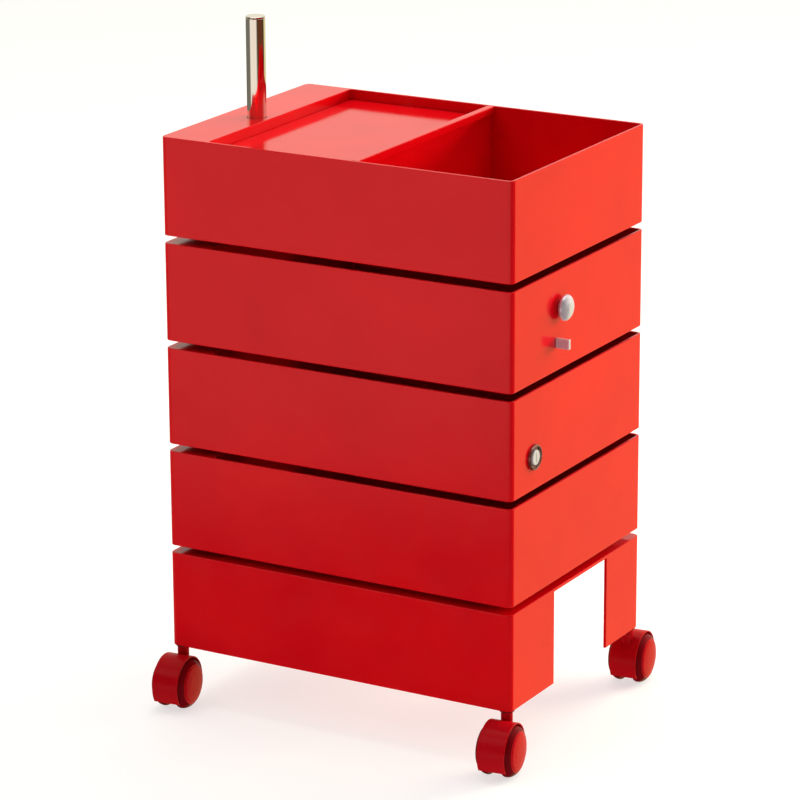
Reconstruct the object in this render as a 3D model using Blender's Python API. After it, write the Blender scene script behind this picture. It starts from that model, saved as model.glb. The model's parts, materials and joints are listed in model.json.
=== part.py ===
"""Five-tier swivel-tray storage trolley on four twin-wheel castors, in metres, +Z up.

The origin is on the floor under the middle of the trolley. +X points to the short end that carries
the lock and the knob, -Y to the long front face. Four trays turn about one steel post near the left
end; the lowest tier is a fixed plinth that carries the post and the castors.
"""

import math

import bmesh
import bpy

# Tiers
LENGTH = 0.400
WIDTH = 0.285
TIER_HEIGHT = 0.102
TIER_PITCH = 0.110
PLINTH_Z = 0.064
TRAYS = 4
CORNER = 0.0065
WALL = 0.003
CORNER_STEPS = 5
CLEARANCE = 0.0003

# Post and the hub that turns on it
POST_X = -0.162
POST_Y = -0.020
POST_RADIUS = 0.010
POST_WALL = 0.0015
POST_RISE = 0.105
POST_FOOT = 0.036
CAP_THICKNESS = 0.002
HUB_EDGE = -0.145
HUB_RADIUS = 0.0165
HUB_BORE = 0.0120
HUB_RIB = 0.0025
BUSH_LENGTH = 0.0125
BUSH_FLANGE = 0.0160
BUSH_FLANGE_THICKNESS = 0.002
RUNNING_BORE = POST_RADIUS + 0.0004

# Lift-out pen tray and the divider that it hooks over
PEN_DEPTH = 0.011
PEN_EDGE = 0.028
PEN_SHEET = 0.0024
PEN_FLOOR = 0.003
PEN_HOOK = 0.008
PEN_LEDGE = 0.004

# Plinth
NOTCH_DEPTH = 0.016
END_NOTCH_Y0 = -0.050
END_NOTCH_Y1 = 0.067
REAR_NOTCH_X0 = 0.066
REAR_NOTCH_X1 = 0.174
PAD_HALF = 0.024
RIB_DEPTH = 0.005

# Castors: swivel stem near each corner, axle set back by the trail
CASTOR_X = 0.1915
CASTOR_Y = 0.134
CASTOR_TRAIL = 0.015
WHEEL_RADIUS = 0.0265
WHEEL_INNER = 0.0072
WHEEL_FACE = 0.0215
HOOD_RADIUS = 0.029
HOOD_SHELL = 0.0014
HOOD_HALF = 0.0145
HOOD_WEB = 0.0065
HOOD_SKIRT_Z = 0.011
NECK_RADIUS = 0.006
STEM_RADIUS = 0.004
AXLE_RADIUS = 0.003
CASTOR_BOSS = 0.0082

# Fittings on the lock end, by tray counted from the top
KNOB_Y = -0.041
KNOB_Z = 0.064
TAB_Y = -0.050
TAB_Z = 0.0295
LOCK_Y = -0.096
LOCK_Z = 0.034
LOCK_HOLE = 0.0098

ROUND = 32
SMALL_ROUND = 16
WHEEL_ROUND = 24


def clear_scene():
    for item in list(bpy.data.objects):
        bpy.data.objects.remove(item)


def material(name, colour, roughness, metallic):
    made = bpy.data.materials.new(name)
    made.use_nodes = True
    shader = made.node_tree.nodes["Principled BSDF"]
    shader.inputs["Base Color"].default_value = (*colour, 1.0)
    shader.inputs["Roughness"].default_value = roughness
    shader.inputs["Metallic"].default_value = metallic
    return made


def finished(name, shape):
    """A mesh from a bmesh, with its normals facing out."""
    bmesh.ops.recalc_face_normals(shape, faces=shape.faces)
    mesh = bpy.data.meshes.new(name)
    shape.to_mesh(mesh)
    shape.free()
    return mesh


def rectangle(x0, x1, y0, y1, radius=0.0):
    """Outline of a rectangle, anticlockwise, with its corners rounded if a radius is given."""
    if radius == 0.0:
        return [(x0, y0), (x1, y0), (x1, y1), (x0, y1)]
    centres = [
        (x1 - radius, y1 - radius),
        (x0 + radius, y1 - radius),
        (x0 + radius, y0 + radius),
        (x1 - radius, y0 + radius),
    ]
    points = []
    for quarter, (cx, cy) in enumerate(centres):
        for step in range(CORNER_STEPS + 1):
            angle = (quarter + step / CORNER_STEPS) * math.pi / 2
            points.append((cx + radius * math.cos(angle), cy + radius * math.sin(angle)))
    return points


def circle(cx, cy, radius, sides=ROUND):
    turn = 2 * math.pi / sides
    return [(cx + radius * math.cos(i * turn), cy + radius * math.sin(i * turn)) for i in range(sides)]


def prism(outline, z0, z1):
    """An outline in the XY plane, extruded from z0 to z1."""
    shape = bmesh.new()
    face = shape.faces.new([shape.verts.new((x, y, z0)) for x, y in outline])
    grown = bmesh.ops.extrude_face_region(shape, geom=[face])
    raised = [item for item in grown["geom"] if isinstance(item, bmesh.types.BMVert)]
    bmesh.ops.translate(shape, verts=raised, vec=(0, 0, z1 - z0))
    return finished("prism", shape)


def box(x0, x1, y0, y1, z0, z1):
    return prism(rectangle(x0, x1, y0, y1), z0, z1)


def cylinder(cx, cy, radius, z0, z1, sides=ROUND):
    return prism(circle(cx, cy, radius, sides), z0, z1)


def turned(profile, sides, closed_loop):
    """A profile of (radius, height) points turned about Z. A closed loop is a ring; an open one ends on the axis."""
    shape = bmesh.new()
    rings = []
    for radius, height in profile:
        if radius == 0.0:
            rings.append([shape.verts.new((0, 0, height))] * sides)
        else:
            rings.append([shape.verts.new((x, y, height)) for x, y in circle(0, 0, radius, sides)])
    pairs = list(zip(rings, rings[1:]))
    if closed_loop:
        pairs.append((rings[-1], rings[0]))
    for lower, upper in pairs:
        for i in range(sides):
            j = (i + 1) % sides
            corners = []
            for corner in (lower[i], lower[j], upper[j], upper[i]):
                if corner not in corners:
                    corners.append(corner)
            shape.faces.new(corners)
    return finished("turned", shape)


def tube(outer, inner, z0, z1, sides=ROUND):
    return turned([(outer, z0), (outer, z1), (inner, z1), (inner, z0)], sides, True)


def moved(mesh, offset=(0, 0, 0), along_x=False):
    """The mesh moved by an offset, after its Z axis is laid along X if asked."""
    if along_x:
        for vertex in mesh.vertices:
            x, y, z = vertex.co
            vertex.co = (z, y, -x)
    for vertex in mesh.vertices:
        vertex.co = [a + b for a, b in zip(vertex.co, offset)]
    return mesh


def carved(start, steps):
    """The mesh of start after each (Boolean operation, helper mesh) in turn."""
    link = bpy.context.scene.collection.objects.link
    body = bpy.data.objects.new("carved_body", start)
    link(body)
    helpers = []
    for operation, mesh in steps:
        helper = bpy.data.objects.new("carving_helper", mesh)
        helper.hide_render = True
        helper.display_type = "WIRE"
        link(helper)
        helpers.append(helper)
        modifier = body.modifiers.new(operation.title(), "BOOLEAN")
        modifier.operation = operation
        modifier.solver = "EXACT"
        modifier.object = helper
    bpy.context.view_layer.update()
    graph = bpy.context.evaluated_depsgraph_get()
    mesh = bpy.data.meshes.new_from_object(body.evaluated_get(graph))
    for item in [body, *helpers]:
        bpy.data.objects.remove(item)
    return mesh


def frame(name, location, angle=0.0, parent=None):
    """An empty that holds the pieces of one moving body."""
    made = bpy.data.objects.new(name, None)
    made.empty_display_size = 0.02
    made.location = location
    made.rotation_euler = (0, 0, angle)
    made.parent = parent
    bpy.context.scene.collection.objects.link(made)
    return made


def piece(name, mesh, finish, parent=None, location=(0, 0, 0), along_x=False, smooth=False):
    """One named object. A turned mesh can be laid along its parent's X axis."""
    made = bpy.data.objects.new(name, mesh)
    mesh.materials.clear()
    mesh.materials.append(finish)
    made.parent = parent
    made.location = location
    if along_x:
        made.rotation_euler = (0, math.pi / 2, 0)
    if smooth:
        mesh.shade_smooth()
        mesh.set_sharp_from_angle(angle=math.radians(35))
    bpy.context.scene.collection.objects.link(made)
    return made


def tier_outline(inset=0.0):
    return rectangle(
        -LENGTH / 2 + inset, LENGTH / 2 - inset, -WIDTH / 2 + inset, WIDTH / 2 - inset, CORNER - inset
    )


def tray_mesh(extra_steps):
    """One swivel tray: an open bin with a floor, and a closed deck over the hub, which is open below."""
    inner_y = WIDTH / 2 - WALL
    inner_radius = CORNER - WALL
    deck_bottom = TIER_HEIGHT - WALL
    bin_outline = rectangle(HUB_EDGE, LENGTH / 2 - WALL, -inner_y, inner_y, inner_radius)
    hub_outline = rectangle(-LENGTH / 2 + WALL, HUB_EDGE - WALL, -inner_y, inner_y, inner_radius)
    rib = box(POST_X - HUB_RIB / 2, POST_X + HUB_RIB / 2, -WIDTH, WIDTH, 0.010, TIER_HEIGHT)
    hub_space = carved(
        prism(hub_outline, -WALL, deck_bottom),
        [
            ("DIFFERENCE", rib),
            ("DIFFERENCE", cylinder(POST_X, POST_Y, HUB_RADIUS, -2 * WALL, TIER_HEIGHT)),
        ],
    )
    steps = [
        ("DIFFERENCE", prism(bin_outline, WALL, TIER_HEIGHT + WALL)),
        ("DIFFERENCE", hub_space),
        ("DIFFERENCE", cylinder(POST_X, POST_Y, HUB_BORE, -WALL, TIER_HEIGHT - 0.005)),
        ("DIFFERENCE", cylinder(POST_X, POST_Y, RUNNING_BORE, 0.05, TIER_HEIGHT + WALL)),
    ]
    return carved(prism(tier_outline(), 0, TIER_HEIGHT), steps + extra_steps)


def lock_hole():
    hole = cylinder(0, 0, LOCK_HOLE, -2 * WALL, 2 * WALL, SMALL_ROUND)
    return ("DIFFERENCE", moved(hole, (LENGTH / 2, LOCK_Y, LOCK_Z), along_x=True))


def top_tray_extras():
    """The divider wall and the two ledges that carry the pen tray."""
    floor_bottom = TIER_HEIGHT - PEN_DEPTH - PEN_FLOOR
    divider_x = PEN_EDGE - PEN_SHEET - CLEARANCE
    divider_top = TIER_HEIGHT - PEN_FLOOR - CLEARANCE
    wall_y = WIDTH / 2 - WALL / 2
    inner_y = WIDTH / 2 - WALL
    ledge_top = floor_bottom - CLEARANCE
    ledge_bottom = ledge_top - WALL
    ledge_end = divider_x - WALL / 2
    ledge_start = HUB_EDGE - WALL / 2
    return [
        ("UNION", box(divider_x - WALL, divider_x, -wall_y, wall_y, WALL / 2, divider_top)),
        ("UNION", box(ledge_start, ledge_end, -wall_y, -inner_y + PEN_LEDGE, ledge_bottom, ledge_top)),
        ("UNION", box(ledge_start, ledge_end, inner_y - PEN_LEDGE, wall_y, ledge_bottom, ledge_top)),
    ]


def pen_tray_mesh():
    """A shallow tray whose right edge rises to the rim and hooks over the divider."""
    floor_bottom = TIER_HEIGHT - PEN_DEPTH - PEN_FLOOR
    floor_top = floor_bottom + PEN_FLOOR
    half_y = WIDTH / 2 - WALL - 2 * CLEARANCE
    hook_in = PEN_EDGE - PEN_SHEET
    upstand_right = hook_in - 2 * CLEARANCE - WALL
    upstand_left = upstand_right - PEN_SHEET
    left = HUB_EDGE + 2 * CLEARANCE
    corner = CORNER - WALL
    floor = prism(rectangle(left, upstand_right, -half_y, half_y, corner), floor_bottom, floor_top)
    flange_bottom = TIER_HEIGHT - PEN_FLOOR
    overlap = PEN_FLOOR / 2
    return carved(
        floor,
        [
            ("UNION", box(upstand_left, upstand_right, -half_y, half_y, floor_bottom, TIER_HEIGHT - overlap)),
            ("UNION", box(upstand_left, PEN_EDGE, -half_y, half_y, flange_bottom, TIER_HEIGHT)),
            ("UNION", box(hook_in, PEN_EDGE, -half_y, half_y, TIER_HEIGHT - PEN_HOOK, TIER_HEIGHT - overlap)),
        ],
    )


def plinth_mesh():
    """The fixed lowest tier: a deck on skirt walls that are notched at the lock end and at the back."""
    deck_bottom = TIER_HEIGHT - WALL
    rib_bottom = deck_bottom - RIB_DEPTH
    rib_half = HUB_RIB / 2
    pad = rectangle(POST_X - PAD_HALF, POST_X + PAD_HALF, POST_Y - PAD_HALF, POST_Y + PAD_HALF, 0.004)
    kept = [
        ("DIFFERENCE", prism(pad, POST_FOOT, TIER_HEIGHT)),
        ("DIFFERENCE", box(POST_X - rib_half, POST_X + rib_half, -WIDTH, WIDTH, rib_bottom, TIER_HEIGHT)),
        ("DIFFERENCE", box(-LENGTH, 0.150, POST_Y - rib_half, POST_Y + rib_half, rib_bottom, TIER_HEIGHT)),
    ]
    for x, y in castor_places():
        kept.append(("DIFFERENCE", cylinder(x, y, CASTOR_BOSS, -2 * WALL, TIER_HEIGHT, WHEEL_ROUND)))
    notch_x = LENGTH / 2 - NOTCH_DEPTH
    notch_y = WIDTH / 2 - NOTCH_DEPTH
    end_notch = box(notch_x, LENGTH, END_NOTCH_Y0, END_NOTCH_Y1, -WALL, deck_bottom)
    rear_notch = box(REAR_NOTCH_X0, REAR_NOTCH_X1, notch_y, WIDTH, -WALL, deck_bottom)
    steps = [
        ("DIFFERENCE", carved(prism(tier_outline(WALL), -WALL, deck_bottom), kept)),
        ("DIFFERENCE", cylinder(POST_X, POST_Y, RUNNING_BORE, 0, TIER_HEIGHT + WALL)),
        ("DIFFERENCE", end_notch),
        ("DIFFERENCE", rear_notch),
    ]
    for x, y in foot_screw_places():
        steps.append(("DIFFERENCE", cylinder(x, y, 0.0022, 0, POST_FOOT + 0.014, SMALL_ROUND)))
    for x, y in castor_places():
        steps.append(("DIFFERENCE", cylinder(x, y, 0.0065, -WALL, 0.030, SMALL_ROUND)))
    return carved(prism(tier_outline(), 0, TIER_HEIGHT), steps)


def castor_places():
    return [(sx * CASTOR_X, sy * CASTOR_Y) for sx in (-1, 1) for sy in (-1, 1)]


def foot_screw_places():
    reach = PAD_HALF - 0.0065
    return [(POST_X + sx * reach, POST_Y + sy * reach) for sx in (-1, 1) for sy in (-1, 1)]


def make_plinth_and_post(red, steel, black):
    base = frame("plinth_frame", (0, 0, PLINTH_Z))
    piece("plinth", plinth_mesh(), red, base)
    top_z = TRAYS * TIER_PITCH + TIER_HEIGHT + POST_RISE
    post = frame("post_frame", (POST_X, POST_Y, 0), parent=base)
    tube_mesh = tube(POST_RADIUS, POST_RADIUS - POST_WALL, POST_FOOT, top_z - CAP_THICKNESS - CLEARANCE)
    piece("post_tube", tube_mesh, steel, post, smooth=True)
    plug_radius = POST_RADIUS - POST_WALL - CLEARANCE
    cap_profile = [
        (0.0, -0.010),
        (plug_radius, -0.010),
        (plug_radius, -CAP_THICKNESS),
        (POST_RADIUS, -CAP_THICKNESS),
        (POST_RADIUS, -0.0008),
        (POST_RADIUS - 0.0008, 0.0),
        (0.0, 0.0),
    ]
    piece("post_top_cap", turned(cap_profile, ROUND, False), steel, post, (0, 0, top_z), smooth=True)
    plate_top = POST_FOOT - CLEARANCE
    plate_bottom = plate_top - 0.003
    plate = prism(rectangle(-PAD_HALF, PAD_HALF, -PAD_HALF, PAD_HALF, 0.004), plate_bottom, plate_top)
    holes = [
        ("DIFFERENCE", cylinder(x - POST_X, y - POST_Y, 0.0026, 0, POST_FOOT, SMALL_ROUND))
        for x, y in foot_screw_places()
    ]
    piece("post_foot_plate", carved(plate, holes), steel, post)
    screw_profile = [
        (0.0, -0.003),
        (0.0036, -0.003),
        (0.0042, -0.0018),
        (0.0042, 0.0),
        (0.0018, 0.0),
        (0.0018, 0.0150),
        (0.0, 0.0160),
    ]
    screw = turned(screw_profile, SMALL_ROUND, False)
    for number, (x, y) in enumerate(foot_screw_places(), start=1):
        place = (x - POST_X, y - POST_Y, plate_bottom - CLEARANCE)
        piece(f"post_foot_screw_{number}", screw, steel, post, place, smooth=True)
    spacer_height = TIER_PITCH - TIER_HEIGHT - BUSH_FLANGE_THICKNESS - 3 * CLEARANCE
    spacer = tube(0.017, RUNNING_BORE, 0, spacer_height)
    for tier in range(1, TRAYS + 1):
        gap_z = (tier - 1) * TIER_PITCH + TIER_HEIGHT + CLEARANCE
        name = f"post_spacer_{TRAYS - tier + 1}"
        piece(name, spacer, black, post, (0, 0, gap_z), smooth=True)


def make_tray(number, red, black):
    """Tray number 1 is the top one. Its frame is on the post's axis, at the height of its underside."""
    tray_z = PLINTH_Z + (TRAYS - number + 1) * TIER_PITCH
    hub = frame(f"tray_{number}_frame", (POST_X, POST_Y, tray_z))
    extras = {1: top_tray_extras(), 3: [lock_hole()]}
    piece(f"tray_{number}_shell", tray_mesh(extras.get(number, [])), red, hub, (-POST_X, -POST_Y, 0))
    sleeve = HUB_BORE - CLEARANCE
    upper_z = TIER_HEIGHT - 0.005 - CLEARANCE - BUSH_LENGTH
    upper = tube(sleeve, RUNNING_BORE, 0, BUSH_LENGTH, WHEEL_ROUND)
    piece(f"tray_{number}_upper_bush", upper, black, hub, (0, 0, upper_z), smooth=True)
    flange_top = -CLEARANCE
    lower_profile = [
        (BUSH_FLANGE, flange_top - BUSH_FLANGE_THICKNESS),
        (BUSH_FLANGE, flange_top),
        (sleeve, flange_top),
        (sleeve, BUSH_LENGTH),
        (RUNNING_BORE, BUSH_LENGTH),
        (RUNNING_BORE, flange_top - BUSH_FLANGE_THICKNESS),
    ]
    lower = turned(lower_profile, WHEEL_ROUND, True)
    piece(f"tray_{number}_lower_bush", lower, black, hub, smooth=True)
    return hub


def make_pen_tray(top_hub, red):
    lift = frame("pen_tray_frame", (-POST_X, -POST_Y, 0), parent=top_hub)
    piece("pen_tray", pen_tray_mesh(), red, lift)


def make_knob_and_tab(hub, steel):
    """Both are bonded to the outside of the end wall."""
    end_x = LENGTH / 2 - POST_X
    knob_place = (end_x, KNOB_Y - POST_Y, KNOB_Z)
    knob_profile = [
        (0.0, 0.0120),
        (0.0055, 0.0116),
        (0.0100, 0.0101),
        (0.0127, 0.0078),
        (0.0134, 0.0058),
        (0.0125, 0.0038),
        (0.0080, 0.0022),
        (0.0070, CLEARANCE),
        (0.0, CLEARANCE),
    ]
    piece("knob", turned(knob_profile, WHEEL_ROUND, False), steel, hub, knob_place, True, True)
    tab = box(CLEARANCE, 0.0150, -0.0020, 0.0020, -0.0050, 0.0050)
    piece("catch_tab", tab, steel, hub, (end_x, TAB_Y - POST_Y, TAB_Z))


def make_lock(hub, steel):
    """A cam lock through the end wall. Its plug and cam turn on the lock's axis, along +X."""
    end_x = LENGTH / 2 - POST_X
    lock = frame("lock_frame", (end_x, LOCK_Y - POST_Y, LOCK_Z), parent=hub)
    inside = -WALL - CLEARANCE
    barrel_end = -0.018
    body_profile = [
        (0.0130, CLEARANCE),
        (0.0130, 0.0022),
        (0.0122, 0.0032),
        (0.0112, 0.0032),
        (0.0107, 0.0010),
        (0.0084, 0.0010),
        (0.0084, barrel_end),
        (0.0095, barrel_end),
        (0.0095, CLEARANCE),
    ]
    body = turned(body_profile, WHEEL_ROUND, True)
    piece("lock_body", body, steel, lock, along_x=True, smooth=True)
    plug_profile = [
        (0.0, barrel_end - 0.0040),
        (0.0028, barrel_end - 0.0040),
        (0.0028, barrel_end - CLEARANCE),
        (0.0080, barrel_end - CLEARANCE),
        (0.0080, 0.0022),
        (0.0072, 0.0030),
        (0.0, 0.0030),
    ]
    keyway = box(-0.0004, 0.0004, -0.0045, 0.0045, 0.0005, 0.0060)
    plug = carved(turned(plug_profile, WHEEL_ROUND, False), [("DIFFERENCE", keyway)])
    turning = frame("lock_plug_frame", (0, 0, 0), parent=lock)
    piece("lock_plug", plug, steel, turning, along_x=True, smooth=True)
    nut_hole = [("DIFFERENCE", cylinder(0, 0, 0.0099, -0.02, 0.02, WHEEL_ROUND))]
    nut = carved(cylinder(0, 0, 0.0135, inside - 0.0030, inside, 6), nut_hole)
    piece("lock_nut", nut, steel, lock, along_x=True)
    cam_outline = rectangle(-0.0220, 0.0065, -0.0060, 0.0060, 0.0055)
    cam_hole = [("DIFFERENCE", cylinder(0, 0, 0.0032, -1, 1, SMALL_ROUND))]
    cam_back = barrel_end - CLEARANCE * 2 - 0.0022
    cam = carved(prism(cam_outline, cam_back, cam_back + 0.0022), cam_hole)
    piece("lock_cam", cam, steel, turning, along_x=True)


def hood_mesh():
    """Castor hood in its swivel frame: the stem is on the Z axis, the axle along X at y = -CASTOR_TRAIL."""
    axle = (0, -CASTOR_TRAIL, WHEEL_RADIUS)
    drum = moved(cylinder(0, 0, HOOD_RADIUS, -HOOD_HALF, HOOD_HALF), axle, along_x=True)
    steps = [("UNION", cylinder(0, 0, NECK_RADIUS, 0.038, PLINTH_Z - 0.0018, WHEEL_ROUND))]
    for side in (-1, 1):
        ends = sorted((side * HOOD_WEB, side * (HOOD_HALF + WALL)))
        space = cylinder(0, 0, HOOD_RADIUS - HOOD_SHELL, *ends)
        steps.append(("DIFFERENCE", moved(space, axle, along_x=True)))
    steps.append(("DIFFERENCE", box(-0.03, 0.03, -0.06, 0.06, -0.01, HOOD_SKIRT_Z)))
    steps.append(("DIFFERENCE", cylinder(0, 0, STEM_RADIUS + 0.0004, 0.0425, 0.07, SMALL_ROUND)))
    axle_hole = moved(cylinder(0, 0, AXLE_RADIUS + 0.0004, -0.02, 0.02, SMALL_ROUND), axle, along_x=True)
    steps.append(("DIFFERENCE", axle_hole))
    return carved(drum, steps)


def castor_meshes():
    """Meshes that the four castors share."""
    wheel_profile = [
        (0.0, WHEEL_FACE),
        (0.0100, WHEEL_FACE - 0.0002),
        (0.0175, WHEEL_FACE - 0.0012),
        (0.0222, WHEEL_FACE - 0.0033),
        (0.0252, WHEEL_FACE - 0.0065),
        (WHEEL_RADIUS, WHEEL_FACE - 0.0105),
        (WHEEL_RADIUS, WHEEL_INNER + 0.0015),
        (WHEEL_RADIUS - 0.0015, WHEEL_INNER),
        (AXLE_RADIUS + 0.0004, WHEEL_INNER),
        (AXLE_RADIUS + 0.0004, 0.0160),
        (0.0, 0.0160),
    ]
    socket_inner = STEM_RADIUS + 0.0004
    flange_bottom = -0.0013
    socket_profile = [
        (0.0078, flange_bottom),
        (0.0078, -CLEARANCE),
        (0.0062, -CLEARANCE),
        (0.0062, 0.0290),
        (socket_inner, 0.0290),
        (socket_inner, flange_bottom),
    ]
    stem_profile = [
        (0.0, 0.0430),
        (STEM_RADIUS, 0.0430),
        (STEM_RADIUS, 0.0900),
        (STEM_RADIUS - 0.0010, 0.0912),
        (0.0, 0.0912),
    ]
    return {
        "hood": hood_mesh(),
        "wheel": turned(wheel_profile, WHEEL_ROUND, False),
        "socket": turned(socket_profile, SMALL_ROUND, True),
        "stem": turned(stem_profile, SMALL_ROUND, False),
        "axle": turned([(0.0, -0.0155), (AXLE_RADIUS, -0.0155), (AXLE_RADIUS, 0.0155), (0.0, 0.0155)],
                       SMALL_ROUND, False),
    }


def make_castor(name, x, y, angle, meshes, red, steel, black):
    """The swivel frame is on the stem; its own -Y is the way that the castor trails."""
    piece(f"castor_{name}_socket", meshes["socket"], black, None, (x, y, PLINTH_Z), smooth=True)
    swivel = frame(f"castor_{name}_frame", (x, y, 0), angle)
    piece(f"castor_{name}_hood", meshes["hood"], red, swivel, smooth=True)
    piece(f"castor_{name}_stem", meshes["stem"], steel, swivel, smooth=True)
    axle_place = (0, -CASTOR_TRAIL, WHEEL_RADIUS)
    piece(f"castor_{name}_axle", meshes["axle"], steel, swivel, axle_place, True, True)
    for side, turn in (("right", 0.0), ("left", math.pi)):
        spin = frame(f"castor_{name}_{side}_axle_frame", axle_place, turn, swivel)
        piece(f"castor_{name}_wheel_{side}", meshes["wheel"], red, spin, (0, 0, 0), True, True)


def main():
    clear_scene()
    red = material("gloss_red", (0.55, 0.010, 0.012), 0.18, 0.0)
    castor_red = material("castor_red", (0.36, 0.008, 0.014), 0.30, 0.0)
    steel = material("nickel_steel", (0.62, 0.58, 0.53), 0.16, 1.0)
    black = material("dark_nylon", (0.10, 0.006, 0.008), 0.45, 0.0)
    make_plinth_and_post(red, steel, black)
    hubs = [make_tray(number, red, black) for number in range(1, TRAYS + 1)]
    make_pen_tray(hubs[0], red)
    make_knob_and_tab(hubs[1], steel)
    make_lock(hubs[2], steel)
    meshes = castor_meshes()
    front_turn = math.radians(6)
    rear_turn = math.radians(185)
    make_castor("front_right", CASTOR_X, -CASTOR_Y, front_turn, meshes, castor_red, steel, black)
    make_castor("rear_left", -CASTOR_X, CASTOR_Y, front_turn + math.pi, meshes, castor_red, steel, black)
    make_castor("rear_right", CASTOR_X, CASTOR_Y, rear_turn, meshes, castor_red, steel, black)
    make_castor("front_left", -CASTOR_X, -CASTOR_Y, rear_turn - math.pi, meshes, castor_red, steel, black)


main()
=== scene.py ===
import json
import math

import bmesh
import bpy
from mathutils import Matrix, Vector


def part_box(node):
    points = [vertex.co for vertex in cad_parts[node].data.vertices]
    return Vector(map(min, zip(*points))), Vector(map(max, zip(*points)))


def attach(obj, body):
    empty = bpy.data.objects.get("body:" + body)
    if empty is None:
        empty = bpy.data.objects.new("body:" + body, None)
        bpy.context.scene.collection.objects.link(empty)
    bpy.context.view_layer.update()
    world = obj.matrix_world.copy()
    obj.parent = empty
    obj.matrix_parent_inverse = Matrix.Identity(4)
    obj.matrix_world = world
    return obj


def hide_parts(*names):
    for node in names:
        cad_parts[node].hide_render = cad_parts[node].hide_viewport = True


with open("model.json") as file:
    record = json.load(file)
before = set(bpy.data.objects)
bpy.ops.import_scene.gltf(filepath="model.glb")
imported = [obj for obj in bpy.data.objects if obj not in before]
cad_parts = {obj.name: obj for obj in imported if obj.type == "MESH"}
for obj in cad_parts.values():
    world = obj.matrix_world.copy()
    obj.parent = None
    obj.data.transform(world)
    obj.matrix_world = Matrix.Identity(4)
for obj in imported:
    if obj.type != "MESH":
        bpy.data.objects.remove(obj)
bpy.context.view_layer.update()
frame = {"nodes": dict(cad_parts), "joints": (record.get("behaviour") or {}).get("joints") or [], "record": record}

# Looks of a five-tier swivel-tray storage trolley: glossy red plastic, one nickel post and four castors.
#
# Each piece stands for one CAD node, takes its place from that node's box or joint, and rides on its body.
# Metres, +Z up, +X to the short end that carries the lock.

BODY_OF = {node: body for body, nodes in frame["record"]["behaviour"]["bodies"].items() for node in nodes}
JOINTS = {joint["name"]: joint for joint in frame["joints"]}

TRAYS = (1, 2, 3, 4)
FOOT_SCREWS = (1, 2, 3, 4)
CASTORS = ("front_right", "front_left", "rear_right", "rear_left")

# Mouldings
CORNER = 0.0065
WALL = 0.003
SHEET = 0.0024
CLEARANCE = 0.0003
RUNNING_CLEARANCE = 0.0004
HUB_RADIUS = 0.0165
HUB_BORE = 0.0120
HUB_RIB = 0.0025
RIM_ROUND = 0.0007
FOOT_ROUND = 0.0009
FLOOR_FILLET = 0.0035
SOFT_EDGE = 0.0004
SHARP_ANGLE = math.radians(48)

# How finely curves are divided
CORNER_STEPS = 10
ROLL_STEPS = 4
ROUND = 96
SMALL_ROUND = 48


# Shapes

def outline(corners, inset=0.0):
    """Closed anticlockwise outline through (x, y, radius) corners, each an arc, moved inwards by inset."""
    smallest_arc = 0.00005
    points = []
    for i, (x, y, radius) in enumerate(corners):
        here = Vector((x, y))
        arriving = (here - Vector(corners[i - 1][:2])).normalized()
        leaving = (Vector(corners[(i + 1) % len(corners)][:2]) - here).normalized()
        inward = Vector((-arriving.y, arriving.x))
        inward_next = Vector((-leaving.y, leaving.x))
        turn = math.atan2(arriving.x * leaving.y - arriving.y * leaving.x, arriving.dot(leaving))
        bend = math.copysign(1.0, turn)
        arc = max(radius - bend * inset, smallest_arc)
        corner = here + inset * (inward + inward_next) / (1 + inward.dot(inward_next))
        start = corner - arriving * arc * math.tan(abs(turn) / 2)
        centre = start + inward * bend * arc
        for step in range(CORNER_STEPS + 1):
            spoke = (start - centre).copy()
            spoke.rotate(Matrix.Rotation(turn * step / CORNER_STEPS, 2))
            points.append(centre + spoke)
    return points


def rectangle(x0, x1, y0, y1, radius):
    """Corners for an outline."""
    return [(x0, y0, radius), (x1, y0, radius), (x1, y1, radius), (x0, y1, radius)]


def roll(centre, height, radius, start, end):
    """(inset, z) points of an arc that rounds an edge, from angle start to angle end, in degrees."""
    points = []
    for step in range(ROLL_STEPS + 1):
        angle = math.radians(start + (end - start) * step / ROLL_STEPS)
        points.append((centre + radius * math.cos(angle), height + radius * math.sin(angle)))
    return points


def rings(corners, levels):
    """One ring of the outline for each (inset, z)."""
    return [[(p.x, p.y, z) for p in outline(corners, inset)] for inset, z in levels]


def finished(name, shape):
    """The bmesh as a mesh, with its faces turned outwards."""
    bmesh.ops.recalc_face_normals(shape, faces=shape.faces)
    mesh = bpy.data.meshes.new(name)
    shape.to_mesh(mesh)
    shape.free()
    return mesh


def loft(levels):
    """A closed skin through rings of equal count, with a flat cap at each end."""
    shape = bmesh.new()
    loops = [[shape.verts.new(point) for point in ring] for ring in levels]
    for lower, upper in zip(loops, loops[1:]):
        for i, vertex in enumerate(lower):
            j = (i + 1) % len(lower)
            shape.faces.new((vertex, lower[j], upper[j], upper[i]))
    shape.faces.new(loops[0][::-1])
    shape.faces.new(loops[-1])
    return finished("loft", shape)


def prism(corners, z0, z1):
    return loft(rings(corners, [(0.0, z0), (0.0, z1)]))


def block(x0, x1, y0, y1, z0, z1):
    shape = bmesh.new()
    bmesh.ops.create_cube(shape, size=1.0)
    for vertex in shape.verts:
        vertex.co = [a + (b - a) * (c + 0.5) for a, b, c in zip((x0, y0, z0), (x1, y1, z1), vertex.co)]
    return finished("block", shape)


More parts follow.
